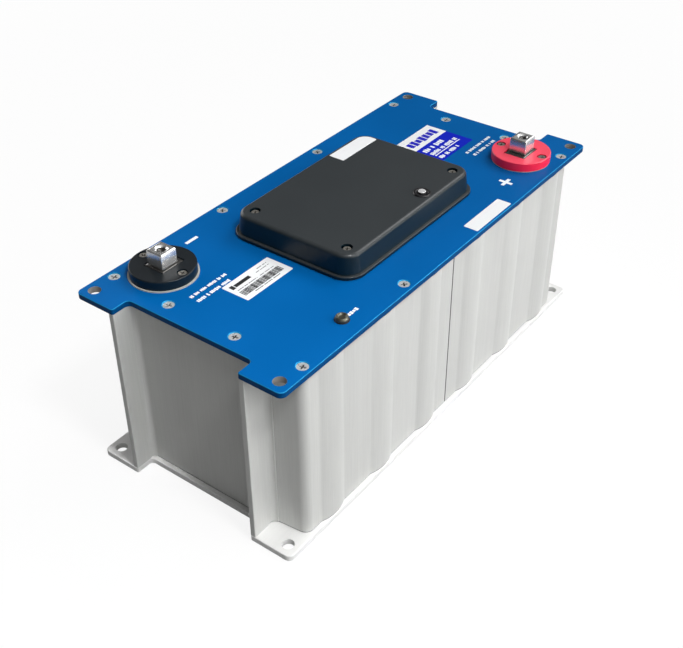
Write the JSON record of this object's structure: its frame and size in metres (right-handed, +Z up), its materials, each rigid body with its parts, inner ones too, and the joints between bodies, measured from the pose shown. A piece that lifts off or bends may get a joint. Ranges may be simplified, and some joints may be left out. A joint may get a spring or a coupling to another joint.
{
  "type": "supercapacitor module",
  "caption": "Boxed bank of series supercapacitor cells between two plates, in a scalloped aluminium case with screwed terminals and a moulded cover.",
  "frame": {"origin": "centre of the underside of the bottom plate", "axes": "+X along the length towards the positive terminal's end, +Y across towards the negative terminal's side, +Z up through the top plate"},
  "size_m": [0.418, 0.19, 0.1787],
  "materials": {
    "plate_blue": "satin",
    "plate_bare": "satin",
    "case_aluminium": "satin extruded",
    "seal_rubber": "matte",
    "screw_steel": "bright zinc",
    "cell_can": "drawn",
    "bus_bar": "mill",
    "insulating_sheet": "matte",
    "ribbon_film": "satin",
    "terminal_plated": "plated, bright",
    "disc_black": "satin moulded",
    "disc_red": "satin moulded",
    "ring_clear": "satin",
    "cover_black": "satin moulded",
    "plug_rubber": "matte",
    "cap_plated": "polished",
    "label_white": "matte",
    "label_blue": "satin",
    "vent_metal": "satin",
    "board_laminate": "satin",
    "pillar_brass": "turned",
    "connector_plastic": "gloss",
    "resistor_body": "matte"
  },
  "bodies": {
    "root": {"top_plate": "plate_blue", "bottom_plate": "plate_bare", "case_half_negative": "case_aluminium", "case_half_positive": "case_aluminium", "seam_seals": "seal_rubber", "bottom_gasket": "seal_rubber", "top_gasket": "seal_rubber", "cover_gasket": "seal_rubber", "negative_terminal_seal": "seal_rubber", "positive_terminal_seal": "seal_rubber", "vent_seal": "seal_rubber", "bottom_plate_screws": "screw_steel", "top_plate_screws": "screw_steel", "disc_screws": "screw_steel", "cover_screws": "screw_steel", "board_screws": "screw_steel", "cell_01": "cell_can", "cell_02": "cell_can", "cell_03": "cell_can", "cell_04": "cell_can", "cell_05": "cell_can", "cell_06": "cell_can", "cell_07": "cell_can", "cell_08": "cell_can", "cell_09": "cell_can", "cell_10": "cell_can", "cell_11": "cell_can", "cell_12": "cell_can", "cell_13": "cell_can", "cell_14": "cell_can", "cell_15": "cell_can", "cell_16": "cell_can", "cell_17": "cell_can", "cell_18": "cell_can", "bottom_bus_bars": "bus_bar", "top_bus_bars": "bus_bar", "bottom_sheet": "insulating_sheet", "top_sheet": "insulating_sheet", "tap_ribbon": "ribbon_film", "negative_terminal_stud": "terminal_plated", "positive_terminal_stud": "terminal_plated", "negative_terminal_block": "terminal_plated", "positive_terminal_block": "terminal_plated", "negative_disc": "disc_black", "positive_disc": "disc_red", "negative_disc_ring": "ring_clear", "positive_disc_ring": "ring_clear", "cover": "cover_black", "cover_plug": "plug_rubber", "plug_cap": "cap_plated", "cover_label": "label_white", "serial_label": "label_white", "blank_label": "label_white", "rating_label": "label_blue", "vent_plug": "vent_metal", "balance_board": "board_laminate", "board_pillars": "pillar_brass", "board_connector": "connector_plastic", "board_resistors": "resistor_body"}
  },
  "joints": []
}
